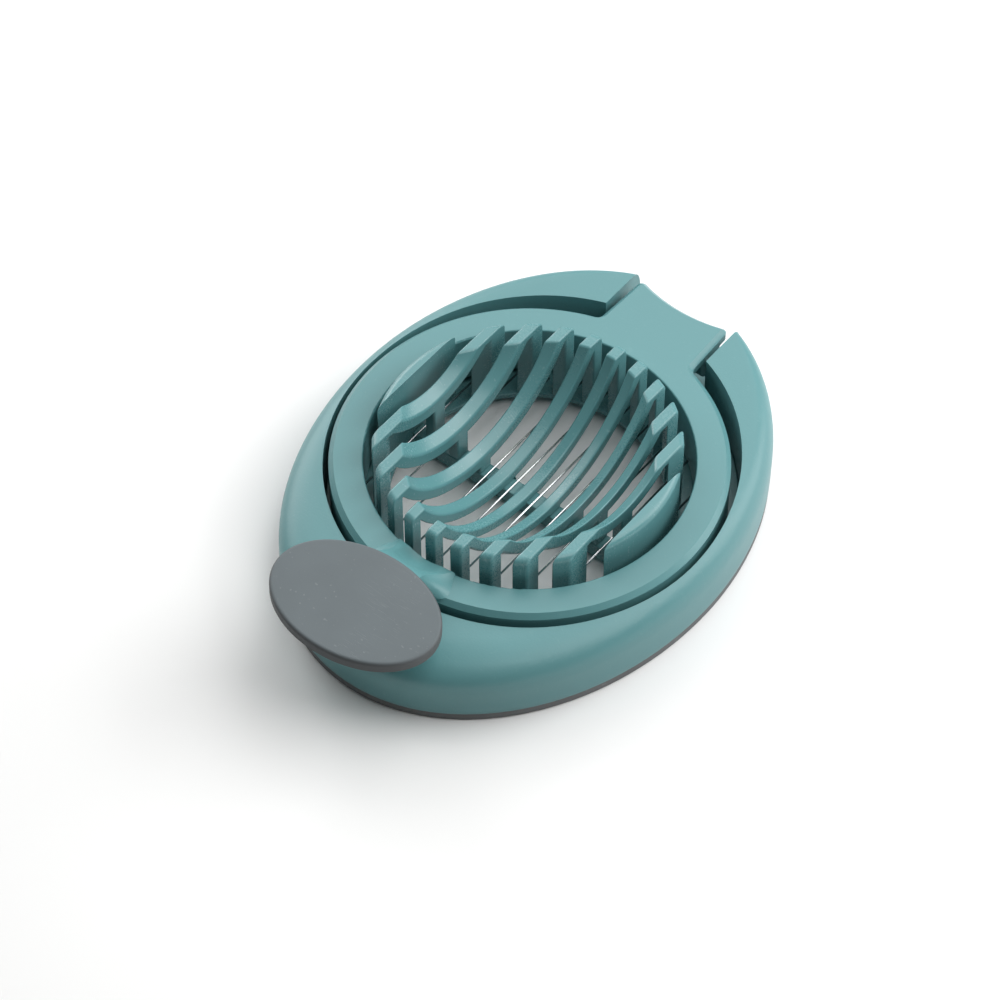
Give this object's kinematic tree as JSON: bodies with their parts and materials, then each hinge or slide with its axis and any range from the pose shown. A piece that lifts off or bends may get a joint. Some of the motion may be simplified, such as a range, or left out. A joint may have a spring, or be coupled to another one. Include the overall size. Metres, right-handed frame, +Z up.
{
  "type": "egg slicer",
  "caption": "Hand egg slicer: a domed egg-shaped base with a ribbed cradle, and a hinged ring strung with parallel cutting wires, lifted by a soft oval thumb pad.",
  "frame": {"origin": "on the table, under the middle of the overall length and width", "axes": "+Z up, +Y towards the hinge, -Y towards the thumb pad, +X to the right seen from the thumb pad"},
  "size_m": [0.0974, 0.135, 0.0276],
  "materials": {
    "teal_plastic": "satin moulded plastic",
    "grey_rubber": "matt soft-touch",
    "steel": "drawn stainless wire"
  },
  "bodies": {
    "base": {"base_shell": "teal_plastic", "foot_ring": "grey_rubber", "cradle_floor": "teal_plastic", "cross_bar": "teal_plastic", "rib_1": "teal_plastic", "rib_2": "teal_plastic", "rib_3": "teal_plastic", "rib_4": "teal_plastic", "rib_5": "teal_plastic", "rib_6": "teal_plastic", "rib_7": "teal_plastic", "rib_8": "teal_plastic", "rib_9": "teal_plastic", "end_rib_left": "teal_plastic", "end_rib_right": "teal_plastic", "hinge_pin": "steel"},
    "cutter": {"cutter_frame": "teal_plastic", "wire_cover": "teal_plastic", "cutting_wire_01": "steel", "cutting_wire_02": "steel", "cutting_wire_03": "steel", "cutting_wire_04": "steel", "cutting_wire_05": "steel", "cutting_wire_06": "steel", "cutting_wire_07": "steel", "cutting_wire_08": "steel", "cutting_wire_09": "steel", "cutting_wire_10": "steel", "wire_ferrules_front": "steel", "wire_ferrules_back": "steel", "thumb_pad": "grey_rubber"}
  },
  "joints": [
    {"name": "cutter_hinge", "type": "hinge", "parent": "base", "child": "cutter", "pos_m": [0, 0.0563, 0.012], "axis": [-1, 0, 0], "range_deg": [0, 100]}
  ]
}
